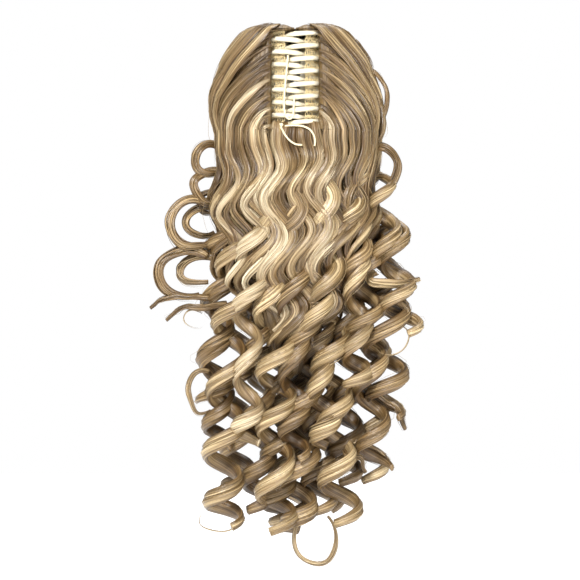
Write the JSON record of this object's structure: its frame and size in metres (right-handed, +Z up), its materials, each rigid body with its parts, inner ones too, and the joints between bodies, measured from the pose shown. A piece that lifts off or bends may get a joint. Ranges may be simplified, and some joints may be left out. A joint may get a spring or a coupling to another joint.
{
  "type": "ponytail hairpiece",
  "caption": "Curly clip-on ponytail hairpiece: a spring claw clip with interlocking fingers, crown hair round it and hanging waves and ringlets below",
  "frame": {"origin": "inside the claw, where it grips the wearer's own ponytail, halfway up the rows of fingers", "axes": "+Z up along the hanging hair and the claw's hinge, -Y the way the fingers face, +X the wearer's side that the right jaw opens to"},
  "size_m": [0.2369, 0.0932, 0.4573],
  "materials": {
    "clip_plastic": "ivory, slightly glossy",
    "hair": "glossy synthetic hair, brown with blonde streaks",
    "net_thread": "crocheted golden brown thread",
    "tie_thread": "pale cream cord",
    "spring_steel": "plain steel"
  },
  "bodies": {
    "clip": {"left_jaw": "clip_plastic", "hinge_pin": "spring_steel", "hinge_spring": "spring_steel", "left_net": "net_thread", "left_crown_hair": "hair", "right_crown_hair": "hair", "ringlets": "hair", "tie_cord": "tie_thread", "tie_loop": "tie_thread", "tie_end": "tie_thread", "tie_knot": "tie_thread"},
    "right_half": {"right_jaw": "clip_plastic", "right_net": "net_thread"}
  },
  "joints": [
    {"name": "claw_hinge", "type": "hinge", "parent": "clip", "child": "right_half", "pos_m": [0, 0.028, 0], "axis": [0, 0, 1], "range_deg": [0, 60], "stiffness_Nm_per_rad": 0.05, "springref_deg": -45.84}
  ]
}
